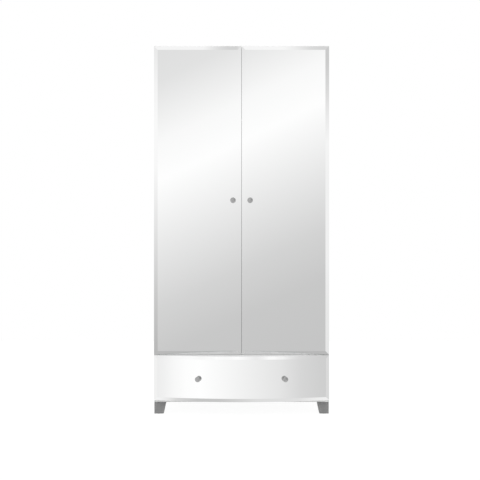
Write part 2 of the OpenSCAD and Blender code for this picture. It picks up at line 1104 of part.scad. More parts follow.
module left_door_knob() {
    color(pewter_colour)
        in_place()
            door_knob();
}

module left_door_screws() {
    color(zinc_colour)
        in_place()
            door_screws();
}

module right_door_board() {
    color(board_colour)
        in_place()
            right_hand()
                door_board();
}

module right_door_mirror() {
    color(mirror_colour)
        in_place()
            right_hand()
                door_mirror();
}

module right_door_knob() {
    color(pewter_colour)
        in_place()
            right_hand()
                door_knob();
}

module right_door_screws() {
    color(zinc_colour)
        in_place()
            right_hand()
                door_screws();
}

// ---------------------------------------------------------------- drawer

// Frame on the bowed front at each drawer knob: z along the knob, 0 on the mirror
module at_drawer_knobs() {
    for (side = [-1, 1])
        translate([0, bow_axis_y, front_bottom + drawer_front_h / 2])
            rotate([0, 0, side * knob_turn])
                translate([0, -bow_r, 0])
                    rotate([90, 0, 0])
                        children();
}

// Section in radius and height, swept along the bow of the drawer front
module swept_bow() {
    translate([0, bow_axis_y, 0])
        rotate([0, 0, -90 - bow_sweep / 2])
            rotate_extrude(angle = bow_sweep, $fn = arc_fn)
                children();
}

// Room of the drawer front: as wide as the doors, and clear of the carcass
module front_room() {
    block([-half_w, front_y - bow - through, front_bottom - through],
          [half_w, -rear_gap, drawer_top + through]);
}

module drawer_front_board() {
    color(board_colour)
        in_place()
            difference() {
                intersection() {
                    swept_bow()
                        translate([bow_rear_r, front_bottom])
                            square([board_t, drawer_front_h]);
                    front_room();
                }
                at_drawer_knobs()
                    translate([0, 0, -board_t - mirror_t - through])
                        cylinder(r = knob_screw_r, h = board_t + mirror_t);
            }
}

// Bent glass: bevels along top and bottom follow the bow, and each end has a flat one
module drawer_mirror() {
    drop = bevel_drop * bent_bevel_w / bevel_w;
    edge_r = bow_r - drop;
    low = front_bottom;
    high = drawer_top;
    end_y = front_y + drop;
    slope = (end_y - bow_y(bow_r, half_w - bent_bevel_w)) / bent_bevel_w;
    color(mirror_colour)
        in_place()
            difference() {
                intersection() {
                    swept_bow()
                        polygon([[bow_board_r, low], [edge_r, low],
                                 [bow_r, low + bent_bevel_w], [bow_r, high - bent_bevel_w],
                                 [edge_r, high], [bow_board_r, high]]);
                    raised(0, high + through)
                        polygon([[-half_w, 0], [half_w, 0], [half_w, end_y],
                                 [0, end_y - half_w * slope], [-half_w, end_y]]);
                }
                at_drawer_knobs()
                    translate([0, 0, -mirror_t - through])
                        cylinder(r = knob_screw_r, h = mirror_t + 2 * through);
            }
}

// Screws through the box front into the blocks: z runs towards the front
module at_front_screws() {
    for (x = block_xs, side = [-1, 1])
        translate([x, drawer_box_y + drawer_board, runner_z + side * front_screw_z])
            rotate([90, 0, 0])
                children();
}

// Plan of what lies behind the bowed board
module behind_bow() {
    intersection() {
        translate([0, bow_axis_y])
            circle(bow_rear_r - glue_t, $fn = arc_fn);
        translate([-half_w, front_y - bow])
            square([2 * half_w, -rear_gap - front_y + bow]);
    }
}

// Bowed ribs along the top and bottom, and upright blocks between them, which
// carry the bowed board on the flat box front
module drawer_front_blocks() {
    color(board_colour)
        in_place() {
            for (z = [front_bottom, drawer_top - rib_t])
                raised(z, z + rib_t)
                    behind_bow();
            difference() {
                raised(front_bottom + rib_t, drawer_top - rib_t)
                    intersection() {
                        behind_bow();
                        for (x = block_xs)
                            translate([x - block_w / 2, -carcass_d])
                                square([block_w, carcass_d]);
                    }
                at_front_screws()
                    cylinder(r = wood_r, h = front_screw_len);
            }
        }
}

module drawer_box_front() {
    color(board_colour)
        in_place()
            difference() {
                block([drawer_board - drawer_half, drawer_box_y, drawer_box_z],
                      [drawer_half - drawer_board, drawer_box_y + drawer_board,
                       drawer_box_z + drawer_box_h]);
                bottom_slot();
                at_front_screws()
                    translate([0, 0, -through])
                        cylinder(r = wood_r, h = drawer_board + 2 * through);
            }
}

// Groove that the drawer bottom slides into
module bottom_slot() {
    edge = drawer_half - drawer_board + bottom_groove;
    block([-edge, drawer_box_y + drawer_board - bottom_groove, bottom_z],
          [edge, drawer_box_y + drawer_box_d + through, bottom_z + bottom_t]);
}

module drawer_side() {
    difference() {
        block([-drawer_half, drawer_box_y, drawer_box_z],
              [drawer_board - drawer_half, drawer_box_y + drawer_box_d,
               drawer_box_z + drawer_box_h]);
        bottom_slot();
        at_inner_rail_screws()
            bar_x([0, 0, 0], wood_r, wood_len - runner_web);
    }
}

module left_drawer_side() {
    color(board_colour)
        in_place()
            drawer_side();
}

module right_drawer_side() {
    color(board_colour)
        in_place()
            right_hand()
                drawer_side();
}

module drawer_back() {
    rear = drawer_box_y + drawer_box_d;
    color(board_colour)
        in_place()
            block([drawer_board - drawer_half, rear - drawer_board, bottom_z + bottom_t],
                  [drawer_half - drawer_board, rear, drawer_box_z + drawer_box_h]);
}

module drawer_bottom() {
    edge = drawer_half - drawer_board + bottom_groove;
    color(sheet_colour)
        in_place()
            block([-edge, drawer_box_y + drawer_board - bottom_groove, bottom_z],
                  [edge, drawer_box_y + drawer_box_d, bottom_z + bottom_t]);
}

module drawer_knobs() {
    color(pewter_colour)
        in_place()
            at_drawer_knobs()
                knob();
}

// Screws of the front, of the inner runner members and of the knobs
module drawer_screws() {
    color(zinc_colour)
        in_place() {
            at_front_screws()
                front_screw();
            both_sides()
                at_inner_rail_screws()
                    translate([-runner_web, 0, 0])
                        rotate([0, 90, 0])
                            wood_screw();
            at_drawer_knobs()
                knob_screw();
        }
}

module front_screw() {
    translate([0, 0, -wood_head_t])
        cylinder(r = wood_head_r, h = wood_head_t);
    cylinder(r = wood_r, h = front_screw_len);
}

// ---------------------------------------------------------------- runners

module at_left_runner(y) {
    translate([-inner_x, y, runner_z])
        rotate([90, 0, 0])
            mirror([0, 0, 1])
                children();
}

// Turns a piece of the left runner over onto the right one: top and bottom are alike
module other_runner() {
    translate([0, 0, runner_z])
        rotate([0, 180, 0])
            translate([0, 0, -runner_z])
                children();
}

module both_edges() {
    children();
    mirror([0, 1])
        children();
}

// Rectangle in t and height
module bar(t0, t1, h0, h1) {
    translate([t0, h0])
        square([t1 - t0, h1 - h0]);
}

// C open towards the drawer, with lips turned in
module outer_section() {
    web_t = outer_member_ts[0];
    edge_t = outer_member_ts[1];
    bar(web_t, web_t + runner_web, -outer_member_h, outer_member_h);
    both_edges() {
        bar(web_t, edge_t, outer_member_h - runner_web, outer_member_h);
        bar(outer_lip_t, edge_t, outer_lip_h, outer_member_h);
    }
}

// C inside the first, whose edges part the outer row of balls from the inner one
module middle_section() {
    web_t = middle_member_ts[0];
    edge_t = middle_member_ts[1];
    bar(web_t, web_t + runner_lip, -middle_web_h, middle_web_h);
    both_edges() {
        bar(web_t, edge_t, middle_member_h - runner_lip, middle_member_h);
        bar(edge_t - runner_lip, edge_t, middle_lip_h, middle_member_h);
    }
}

// C that is screwed to the drawer side, with lips turned out
module inner_section() {
    lip_t = inner_member_ts[0];
    web_t = inner_member_ts[1];
    bar(web_t - runner_web, web_t, -inner_member_h, inner_member_h);
    both_edges() {
        bar(lip_t, web_t, inner_member_h - runner_lip, inner_member_h);
        bar(lip_t, lip_t + runner_lip, inner_member_h - runner_lip, inner_lip_h);
    }
}

module left_outer_rail() {
    difference() {
        at_left_runner(0)
            linear_extrude(runner_len)
                outer_section();
        at_left_corner()
            at_runner_screws()
                bar_x([-through, 0, 0], euro_head_r, euro_head_t + 2 * through);
    }
}

module left_middle_rail() {
    at_left_runner(middle_ends[0])
        linear_extrude(runner_len - middle_ends[0] - middle_ends[1])
            middle_section();
}

// Screw points on the outer face of the left drawer side, x running into it
module at_inner_rail_screws() {
    for (y = runner_screw_ys)
        translate([-drawer_half, y, runner_z])
            children();
}

module left_inner_rail() {
    difference() {
        at_left_runner(inner_ends[0])
            linear_extrude(runner_len - inner_ends[0] - inner_ends[1])
                inner_section();
        at_inner_rail_screws()
            bar_x([-runner_web - through, 0, 0], wood_r, runner_web + 2 * through);
    }
}

// Folded strip that spaces two rows of balls: ts are its web and its lips' edge
module ball_cage(track, ts) {
    lip_h = track[1] - cage_hold;
    difference() {
        linear_extrude(cage_len) {
            bar(ts[0], ts[0] + cage_t, -track[1] - cage_hold, track[1] + cage_hold);
            both_edges()
                bar(ts[0], ts[1], lip_h, lip_h + cage_lip_t);
        }
        at_balls(track)
            rotate([90, 0, 0])
                cylinder(r = ball_r, h = 2 * ball_r, center = true);
    }
    at_balls(track)
        sphere(r = ball_r, $fn = 32);
}

module at_balls(track) {
    for (side = [-1, 1], i = [0 : balls - 1])
        translate([track[0], side * track[1], (i + 0.5) * ball_pitch])
            children();
}

module left_outer_cage() {
    at_left_runner(outer_cage_y)
        ball_cage(outer_track, outer_cage_ts);
}

module left_inner_cage() {
    at_left_runner(inner_cage_y)
        ball_cage(inner_track, inner_cage_ts);
}

module left_runner_outer() {
    color(zinc_colour)
        in_place()
            left_outer_rail();
}

module right_runner_outer() {
    color(zinc_colour)
        in_place()
            right_hand()
                left_outer_rail();
}

module left_runner_middle() {
    color(zinc_colour)
        in_place()
            left_middle_rail();
}

module right_runner_middle() {
    color(zinc_colour)
        in_place()
            right_hand()
                left_middle_rail();
}

module left_runner_inner() {
    color(zinc_colour)
        in_place()
            left_inner_rail();
}

module right_runner_inner() {
    color(zinc_colour)
        in_place()
            right_hand()
                left_inner_rail();
}

module left_outer_ball_cage() {
    color(chrome_colour)
        in_place()
            left_outer_cage();
}

module left_inner_ball_cage() {
    color(chrome_colour)
        in_place()
            left_inner_cage();
}

module right_outer_ball_cage() {
    color(chrome_colour)
        in_place()
            other_runner()
                left_outer_cage();
}

module right_inner_ball_cage() {
    color(chrome_colour)
        in_place()
            other_runner()
                left_inner_cage();
}

// ---------------------------------------------------------------- drawing

left_side_panel();
right_side_panel();
left_side_mirror();
right_side_mirror();
top_panel();
divider_panel();
base_panel();
hat_shelf();
shelf_pins();
upper_back_sheet();
lower_back_sheet();
back_joint_strip();
cam_locks();
cam_bolts();
dowels();
hanging_rail();
rail_sockets();
feet();
foot_plates();
foot_bolts();
foot_glides();
wall_brackets();
wood_screws();
euro_screws();
hinge_plates();
left_hinge_arms();
right_hinge_arms();
front_bumpers();
left_runner_outer();
right_runner_outer();
left_door_board();
left_door_mirror();
left_door_knob();
left_hinge_cups();
left_hinge_pins();
left_door_screws();
right_door_board();
right_door_mirror();
right_door_knob();
right_hinge_cups();
right_hinge_pins();
right_door_screws();
drawer_front_board();
drawer_mirror();
drawer_front_blocks();
drawer_box_front();
left_drawer_side();
right_drawer_side();
drawer_back();
drawer_bottom();
drawer_knobs();
drawer_screws();
left_runner_inner();
right_runner_inner();
left_runner_middle();
right_runner_middle();
left_outer_ball_cage();
left_inner_ball_cage();
right_outer_ball_cage();
right_inner_ball_cage();
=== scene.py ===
"""Looks of the mirrored wardrobe: finishes, small hardware, studio and camera. Metres."""

import json
import math

import bmesh
import bpy
from mathutils import Matrix, Vector


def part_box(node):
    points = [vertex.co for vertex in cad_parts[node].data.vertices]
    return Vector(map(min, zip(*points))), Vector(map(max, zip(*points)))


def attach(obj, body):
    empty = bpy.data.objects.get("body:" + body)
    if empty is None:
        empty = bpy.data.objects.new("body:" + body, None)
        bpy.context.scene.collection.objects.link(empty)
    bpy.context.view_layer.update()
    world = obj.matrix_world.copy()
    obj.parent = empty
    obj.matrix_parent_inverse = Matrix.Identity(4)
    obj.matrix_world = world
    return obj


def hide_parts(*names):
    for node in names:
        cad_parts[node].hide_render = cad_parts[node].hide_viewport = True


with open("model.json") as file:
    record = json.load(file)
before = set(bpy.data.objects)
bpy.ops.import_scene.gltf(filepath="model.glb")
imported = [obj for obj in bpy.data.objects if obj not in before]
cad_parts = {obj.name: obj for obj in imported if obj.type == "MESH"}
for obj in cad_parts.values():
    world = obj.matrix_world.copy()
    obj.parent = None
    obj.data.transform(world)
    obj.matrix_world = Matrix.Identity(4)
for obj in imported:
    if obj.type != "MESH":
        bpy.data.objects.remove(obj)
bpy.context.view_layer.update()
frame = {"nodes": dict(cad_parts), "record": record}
NODES = frame["nodes"]
MM = 0.001


# ------------------------------------------------------------------ shader nodes

def new_material(name):
    """A material, its node tree and its Principled shader."""
    material = bpy.data.materials.new(name)
    material.use_nodes = True
    return material, material.node_tree, material.node_tree.nodes["Principled BSDF"]


def add(tree, kind, **inputs):
    """A node with its inputs set by name; underscores stand for spaces."""
    node = tree.nodes.new(kind)
    for name, value in inputs.items():
        node.inputs[name.replace("_", " ")].default_value = value
    return node


def feed(tree, value, socket):
    """Set a constant on a socket, or link another node's output to it."""
    if isinstance(value, (int, float, tuple)):
        socket.default_value = value
    else:
        tree.links.new(value, socket)


def math_node(tree, operation, *values):
    """Result of an operation on constants and outputs."""
    node = tree.nodes.new("ShaderNodeMath")
    node.operation = operation
    for value, socket in zip(values, node.inputs):
        feed(tree, value, socket)
    return node.outputs["Value"]


def product(tree, first, *others):
    """All the values multiplied together."""
    for other in others:
        first = math_node(tree, "MULTIPLY", first, other)
    return first


def ramp(tree, factor, stops):
    """Colour ramp; stops are (position, grey or colour)."""
    node = tree.nodes.new("ShaderNodeValToRGB")
    elements = node.color_ramp.elements
    while len(elements) < len(stops):
        elements.new(0.5)
    for element, (position, value) in zip(elements, stops):
        element.position = position
        colour = value if isinstance(value, tuple) else (value, value, value)
        element.color = (*colour, 1.0)
    tree.links.new(factor, node.inputs["Fac"])
    return node.outputs["Color"]


def mixed_shaders(tree, share, first, second):
    """Two shaders, of which share, a constant or an output, is the second."""
    node = tree.nodes.new("ShaderNodeMixShader")
    for value, socket in zip((share, first.outputs[0], second.outputs[0]), node.inputs):
        feed(tree, value, socket)
    return node


# ------------------------------------------------------------------ materials

def object_coordinates(tree):
    return tree.nodes.new("ShaderNodeTexCoord").outputs["Object"]


def stretched(tree, scale):
    """Object coordinates times (x, y, z): a small factor draws a pattern out along that axis."""
    mapping = add(tree, "ShaderNodeMapping", Scale=scale)
    tree.links.new(object_coordinates(tree), mapping.inputs["Vector"])
    return mapping.outputs["Vector"]


def noise(tree, vector, scale=1.0, detail=3.0, roughness=0.55):
    node = add(tree, "ShaderNodeTexNoise", Scale=scale, Detail=detail, Roughness=roughness)
    tree.links.new(vector, node.inputs["Vector"])
    return node.outputs["Fac"]


def bump(tree, shader, height, strength, distance):
    node = add(tree, "ShaderNodeBump", Strength=strength, Distance=distance)
    tree.links.new(height, node.inputs["Height"])
    tree.links.new(node.outputs["Normal"], shader.inputs["Normal"])


NOISE_SPAN = (0.3, 0.7)      # nearly all of a noise lies in it


def over_noise(tree, factor, low, high):
    """A tone that goes from low to high with a noise."""
    return ramp(tree, factor, [(NOISE_SPAN[0], low), (NOISE_SPAN[1], high)])


def mottle(tree, shader, factor, colour, spread):
    """Colour that a noise makes darker and paler by the share spread."""
    low = tuple(c * (1 - spread) for c in colour)
    high = tuple(min(1.0, c * (1 + spread)) for c in colour)
    tree.links.new(over_noise(tree, factor, low, high), shader.inputs["Base Color"])


def vary_gloss(tree, shader, factor, roughness, least, most):
    """Roughness that a noise moves between two shares of its mean."""
    rough = over_noise(tree, factor, roughness * least, roughness * most)
    tree.links.new(rough, shader.inputs["Roughness"])


def cosine_with(tree, normal, axis):
    """Cosine of the angle between a normal and an axis."""
    node = tree.nodes.new("ShaderNodeVectorMath")
    node.operation = "DOT_PRODUCT"
    node.inputs[1].default_value = axis
    tree.links.new(normal, node.inputs[0])
    return node.outputs["Value"]


CLEAR_GLASS = (0.944, 0.946, 0.945)
CUT_GLASS = (0.30, 0.36, 0.34)
# Cosines of a face's turn from the mirror's front: a cut edge's is below the first, and those of
# the face and its bevels, bent or not, are above the second
CUT_BELOW = 0.80
CLEAR_ABOVE = 0.88
MIRROR_ROUGHNESS = 0.02


def mirror_material(name, facing):
    """Silvered plate: clear on its face and bevels, green-grey where the glass edge is cut."""
    material, tree, shader = new_material(name)
    shader.inputs["Metallic"].default_value = 1.0
    shader.inputs["Roughness"].default_value = MIRROR_ROUGHNESS
    normal = tree.nodes.new("ShaderNodeTexCoord").outputs["Normal"]
    tone = ramp(tree, cosine_with(tree, normal, facing),
                [(CUT_BELOW, CUT_GLASS), (CLEAR_ABOVE, CLEAR_GLASS)])
    tree.links.new(tone, shader.inputs["Base Color"])
    return material


THREAD_ACROSS = 900.0        # noise scales of the pressed linen's threads
THREAD_ALONG = 90.0


def foil_material(name, colour, roughness):
    """Foil-faced board: a faint pressed linen texture over smooth colour."""
    material, tree, shader = new_material(name)
    cloud = noise(tree, object_coordinates(tree), scale=6.0)
    mottle(tree, shader, cloud, colour, spread=0.03)
    warp = noise(tree, stretched(tree, (THREAD_ACROSS, THREAD_ACROSS, THREAD_ALONG)), detail=1.0)
    weft = noise(tree, stretched(tree, (THREAD_ALONG, THREAD_ALONG, THREAD_ACROSS)), detail=1.0)
    linen = math_node(tree, "ADD", warp, weft)
    bump(tree, shader, linen, strength=0.10, distance=0.2 * MM)
    shader.inputs["Roughness"].default_value = roughness
    return material


def sheet_material(name, colour, roughness):
    """Painted fibre sheet of the back and the drawer bottom."""
    material, tree, shader = new_material(name)
    fibres = noise(tree, stretched(tree, (60.0, 60.0, 400.0)), detail=6.0, roughness=0.7)
    mottle(tree, shader, fibres, colour, spread=0.06)
    bump(tree, shader, fibres, strength=0.3, distance=0.3 * MM)
    shader.inputs["Roughness"].default_value = roughness
    return material


def metal_material(name, colour, roughness, grain=0.0):
    """Bare or plated metal, with an optional fine grain drawn out upwards."""
    material, tree, shader = new_material(name)
    shader.inputs["Metallic"].default_value = 1.0
    cloud = noise(tree, object_coordinates(tree), scale=40.0)
    mottle(tree, shader, cloud, colour, spread=0.05)
    wear = noise(tree, object_coordinates(tree), scale=120.0, detail=4.0)
    vary_gloss(tree, shader, wear, roughness, least=0.8, most=1.25)
    if grain:
        lines = noise(tree, stretched(tree, (1500.0, 1500.0, 60.0)), detail=2.0)
        bump(tree, shader, lines, strength=grain, distance=0.05 * MM)
    return material


def paint_material(name, colour, roughness):
    """Satin paint over wood: a faint grain and small changes of gloss."""
    material, tree, shader = new_material(name)
    grain = noise(tree, stretched(tree, (220.0, 220.0, 18.0)), detail=5.0, roughness=0.65)
    mottle(tree, shader, grain, colour, spread=0.10)
    bump(tree, shader, grain, strength=0.2, distance=0.3 * MM)
    gloss = noise(tree, object_coordinates(tree), scale=90.0)
    vary_gloss(tree, shader, gloss, roughness, least=0.85, most=1.15)
    return material


def silver_material(name, colour, roughness):
    """Silver paint with fine flakes, which looks paler where it is seen at a low angle."""
    material, tree, shader = new_material(name)
    cloud = noise(tree, object_coordinates(tree), scale=8.0)
    mottle(tree, shader, cloud, colour, spread=0.03)
    flakes = noise(tree, object_coordinates(tree), scale=900.0, detail=2.0)
    bump(tree, shader, flakes, strength=0.08, distance=0.1 * MM)
    shader.inputs["Roughness"].default_value = roughness
    shader.inputs["Sheen Weight"].default_value = 1.0
    shader.inputs["Sheen Roughness"].default_value = 0.65
    return material


def plastic_material(name, colour, roughness):
    """Moulded plastic with a fine spark-eroded skin."""
    material, tree, shader = new_material(name)
    skin = noise(tree, object_coordinates(tree), scale=2500.0, detail=2.0)
    mottle(tree, shader, skin, colour, spread=0.02)
    bump(tree, shader, skin, strength=0.15, distance=0.1 * MM)
    shader.inputs["Roughness"].default_value = roughness
    return material


def beech_material(name, colour, roughness):
    """Bare beech with its grain along x, as the dowels lie."""
    material, tree, shader = new_material(name)
    grain = noise(tree, stretched(tree, (40.0, 500.0, 500.0)), detail=5.0, roughness=0.6)
    mottle(tree, shader, grain, colour, spread=0.18)
    shader.inputs["Roughness"].default_value = roughness
    return material


WHITE = (0.84, 0.84, 0.83)
# By slot, and for the silver core: each material's name, colour and roughness
MATERIALS = {
    "foiled_board": foil_material("foil_satin", WHITE, 0.42),
    "drawer_board": foil_material("foil_matt", WHITE, 0.55),
    "thin_sheet": sheet_material("fibre_sheet", (0.66, 0.65, 0.63), 0.62),
    "silver_core": silver_material("silver_paint", (0.49, 0.49, 0.49), 0.5),
    "knob_metal": metal_material("pewter_satin", (0.48, 0.48, 0.48), 0.24),
    "foot_paint": paint_material("foot_satin", (0.23, 0.23, 0.23), 0.40),
    "glide_plastic": plastic_material("glide_plastic", (0.10, 0.10, 0.10), 0.6),
    "chromed_tube": metal_material("chrome", (0.80, 0.81, 0.82), 0.08),
    "pale_plastic": plastic_material("pale_plastic", (0.80, 0.80, 0.79), 0.45),
    "beech": beech_material("beech", (0.62, 0.44, 0.26), 0.6),
    "plated_casting": metal_material("nickel_plate", (0.62, 0.62, 0.61), 0.24),
    "bearing_steel": metal_material("bearing_steel", (0.60, 0.61, 0.62), 0.16),
    "zinc_steel": metal_material("zinc_plate", (0.60, 0.62, 0.64), 0.30, grain=0.15),
}
SILVER_CORE = ("drawer_front_board", "drawer_front_blocks")   # painted, behind the bent mirror
MIRROR_FACINGS = {
    "left_door_mirror": (0, -1, 0),
    "right_door_mirror": (0, -1, 0),
    "drawer_mirror": (0, -1, 0),
    "left_side_mirror": (-1, 0, 0),
    "right_side_mirror": (1, 0, 0),
}


def dress(node, material):
    mesh = NODES[node].data
    mesh.materials.clear()
    mesh.materials.append(material)


def dress_frame():
    """Every CAD node takes the finish of its slot, apart from the mirrors and the silver core."""
    for part in frame["record"]["subparts"]:
        node = part["node"]
        if node in MIRROR_FACINGS:
            dress(node, mirror_material("silvered_" + node, MIRROR_FACINGS[node]))
        elif node in SILVER_CORE:
            dress(node, MATERIALS["silver_core"])
        else:
            dress(node, MATERIALS[part["material_slot"]])


# ------------------------------------------------------------------ small hardware

SHARP_FROM = math.radians(35)           # edges that turn by more than this look sharp


def new_piece(name, bm, body, slot):
    """A mesh object made from bm, riding on a body, with the finish of its slot."""
    mesh = bpy.data.meshes.new(name)
    bm.to_mesh(mesh)
    bm.free()
    for face in mesh.polygons:
        face.use_smooth = True
    mesh.set_sharp_from_angle(angle=SHARP_FROM)
    mesh.materials.append(MATERIALS[slot])
    piece = bpy.data.objects.new(name, mesh)
    bpy.context.collection.objects.link(piece)
    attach(piece, body)
    return piece


def corners(points):
    """Lowest and highest corner of some points."""
    return (Vector(min(p[i] for p in points) for i in range(3)),
            Vector(max(p[i] for p in points) for i in range(3)))


SAME_POINT = 0.001 * MM      # corners of a CAD mesh that are closer than this are one


def islands(node):
    """The points of each separate solid of a CAD node."""
    bm = bmesh.new()
    bm.from_mesh(NODES[node].data)
    bmesh.ops.remove_doubles(bm, verts=bm.verts, dist=SAME_POINT)
    found, seen = [], set()
    for start in bm.verts:
        if start in seen:
            continue
        seen.add(start)
        group, front = [], [start]
        while front:
            vert = front.pop()
            group.append(vert.co.copy())
            for edge in vert.link_edges:
                other = edge.other_vert(vert)
                if other not in seen:
                    seen.add(other)
                    front.append(other)
        found.append(group)
    bm.free()
    return found


FIRST_GUESS = Vector((1, 0.9, 0.8))     # square to no screw's axis
ROUNDS = 60                  # each turns the guess further towards the longest direction


def long_axis(points):
    """Middle of the points and the direction in which they spread most."""
    middle = sum(points, Vector()) / len(points)
    spread = Matrix([[sum((p - middle)[i] * (p - middle)[j] for p in points)
                      for j in range(3)] for i in range(3)])
    axis = FIRST_GUESS
    for _ in range(ROUNDS):
        axis = (spread @ axis).normalized()
    return middle, axis


END_BAND = 0.1 * MM          # points this close to an end of a screw belong to that end


def screw_facts(points):
    """Place of a screw's head, the way it faces, and its head radius, shank radius and length."""
    middle, axis = long_axis(points)
    heights = [(p - middle).dot(axis) for p in points]
    radii = [(p - middle - h * axis).length for p, h in zip(points, heights)]
    low, high = min(heights), max(heights)
    low_r = max(r for r, h in zip(radii, heights) if h < low + END_BAND)
    high_r = max(r for r, h in zip(radii, heights) if h > high - END_BAND)
    if low_r > high_r:
        axis, low, high = -axis, -high, -low
    return middle + high * axis, axis, max(low_r, high_r), min(low_r, high_r), high - low


def neighbours(loop):
    """Each point of a closed loop with the next one."""
    return zip(loop, loop[1:] + loop[:1])


def bridge(bm, outer, inner):
    """Faces between two closed loops with as many points."""
    for (a, b), (c, d) in zip(neighbours(outer), neighbours(inner)):
        bm.faces.new((a, b, d, c))


SIDES = 20                   # of a screw's or a nail's turned parts
HEAD_T = 0.45                # a screw head's thickness, in its radii
# Outlines as (radius, depth): a domed head's over its own radius and thickness, a flat head's in
# its radii, and the crest and root of a turn of thread over the shank's radius and the pitch
DOME = ((0.62, 0.0), (0.86, 0.35), (1.0, 1.0))
RIM = ((0.97, 0.0), (1.0, 0.06), (1.0, 0.2))
THREAD = ((1.0, 0.15), (0.72, 0.6))
TURNS = 6
TIP_R = 0.6                  # where the point begins, in shank radii
RECESS_REACH = 0.5           # of the cross recess, in head radii
RECESS_HALF_WIDTH = 0.11     # in head radii
RECESS_DEPTH = 0.4           # in head radii
RECESS_FLOOR = 0.62          # size of its floor over its mouth's


def screw_outline(head_r, shank_r, length, domed):
    """(radius, height) down a screw, from its head's outer face to where its point begins."""
    head_t = HEAD_T * head_r
    if domed:
        outline = [(head_r * radius, -depth * head_t) for radius, depth in DOME]
    else:
        outline = [(head_r * radius, -depth * head_r) for radius, depth in RIM]
    outline.append((shank_r, -head_t))
    pitch = (length - head_t - shank_r) / TURNS
    for turn in range(TURNS):
        top = -head_t - turn * pitch
        outline += [(shank_r * radius, top - depth * pitch) for radius, depth in THREAD]
    outline.append((shank_r * TIP_R, shank_r - length))
    return outline


def cross_points(reach, half):
    """Outline of a cross, from the reach and the half width of its arms."""
    arm = [(reach, -half), (reach, half), (half, half)]
    outline = []
    for _ in range(4):
        outline += arm
        arm = [(-y, x) for x, y in arm]
    return outline


def add_screw(bm, head, out, head_r, shank_r, length, domed):
    """Screw with a cross recess; head is the middle of its head's outer face, which points
    along out. A domed head has a rounded edge, the other a cone under its rim."""
    place = Matrix.Translation(head) @ out.to_track_quat("Z", "Y").to_matrix().to_4x4()

    def point(x, y, z):
        return bm.verts.new(place @ Vector((x, y, z)))

    rings = [[point(radius * math.cos(a), radius * math.sin(a), z)
              for a in (2 * math.pi * i / SIDES for i in range(SIDES))]
             for radius, z in screw_outline(head_r, shank_r, length, domed)]
    for above, below in zip(rings, rings[1:]):
        bridge(bm, below, above)
    tip = point(0, 0, -length)
    for a, b in neighbours(rings[-1]):
        bm.faces.new((b, a, tip))
    cross = cross_points(RECESS_REACH * head_r, RECESS_HALF_WIDTH * head_r)
    mouth = [point(x, y, 0) for x, y in cross]
    floor = [point(RECESS_FLOOR * x, RECESS_FLOOR * y, -RECESS_DEPTH * head_r) for x, y in cross]
    bridge(bm, mouth, floor)
    bm.faces.new(floor)
    rims = [bm.edges.get(pair) for loop in (rings[0], mouth) for pair in neighbours(loop)]
    bmesh.ops.triangle_fill(bm, edges=rims, use_beauty=True, normal=out)


# The CAD's screws, with the body that each node rides on
SCREW_NODES = {
    "euro_screws": "carcass",
    "wood_screws": "carcass",
    "left_door_screws": "left_door",
    "right_door_screws": "right_door",
    "drawer_screws": "drawer",
}
DOMED_FROM = 3.8 * MM        # only the knob screws' and the euro screws' heads are larger


def make_screws():
    """Screws with cross recesses in place of the CAD's plain ones."""
    for node, body in SCREW_NODES.items():
        bm = bmesh.new()
        for points in islands(node):
            head, out, head_r, shank_r, length = screw_facts(points)
            domed = head_r > DOMED_FROM and node != "euro_screws"
            add_screw(bm, head, out, head_r, shank_r, length, domed)
        bmesh.ops.recalc_face_normals(bm, faces=bm.faces)
        piece = new_piece("cross_" + node, bm, body, "zinc_steel")
        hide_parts(node)


ARM_SCREW_Y = (14 * MM, 40 * MM)        # ahead of an arm's rear end
ARM_SCREW_SUNK = 0.8 * MM    # below the arm's inner face
ARM_SCREW_HEAD_R = 2.75 * MM
ARM_SCREW_SHANK_R = 2.2 * MM
ARM_SCREW_LENGTH = 7 * MM


def make_arm_screws():
    """The fixing and the adjusting screw of each hinge arm."""
    bm = bmesh.new()
    for node, inward in (("left_hinge_arms", 1), ("right_hinge_arms", -1)):
        for points in islands(node):
            low, high = corners(points)
            inner_x = high.x if inward > 0 else low.x
            for ahead in ARM_SCREW_Y:
                head = Vector((inner_x - inward * ARM_SCREW_SUNK, high.y - ahead,
                               (low.z + high.z) / 2))
                add_screw(bm, head, Vector((inward, 0, 0)), ARM_SCREW_HEAD_R,
                          ARM_SCREW_SHANK_R, ARM_SCREW_LENGTH, domed=True)
    bmesh.ops.recalc_face_normals(bm, faces=bm.faces)
    new_piece("hinge_arm_screws", bm, "carcass", "zinc_steel")


NAIL_R = 2.6 * MM
NAIL_FACE_R = 0.8 * NAIL_R   # of a head's outer face
NAIL_T = 0.6 * MM
NAILS_PER_ROW = 7


def make_back_nails():
    """Flat nail heads that hold the back sheets to the panels' rear edges."""
    bm = bmesh.new()
    sheet_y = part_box("upper_back_sheet")[1].y
    to_the_back = Matrix.Rotation(math.radians(-90), 4, "X")
    for node in ("top_panel", "divider_panel", "base_panel"):
        low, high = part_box(node)
        for i in range(NAILS_PER_ROW):
            x = low.x + (high.x - low.x) * (i + 0.5) / NAILS_PER_ROW
            place = Matrix.Translation((x, sheet_y + NAIL_T / 2, (low.z + high.z) / 2))
            made = bmesh.ops.create_cone(bm, cap_ends=True, segments=SIDES, radius1=NAIL_R,
                                         radius2=NAIL_FACE_R, depth=NAIL_T)
            bmesh.ops.transform(bm, matrix=place @ to_the_back, verts=made["verts"])
    new_piece("back_nails", bm, "carcass", "zinc_steel")


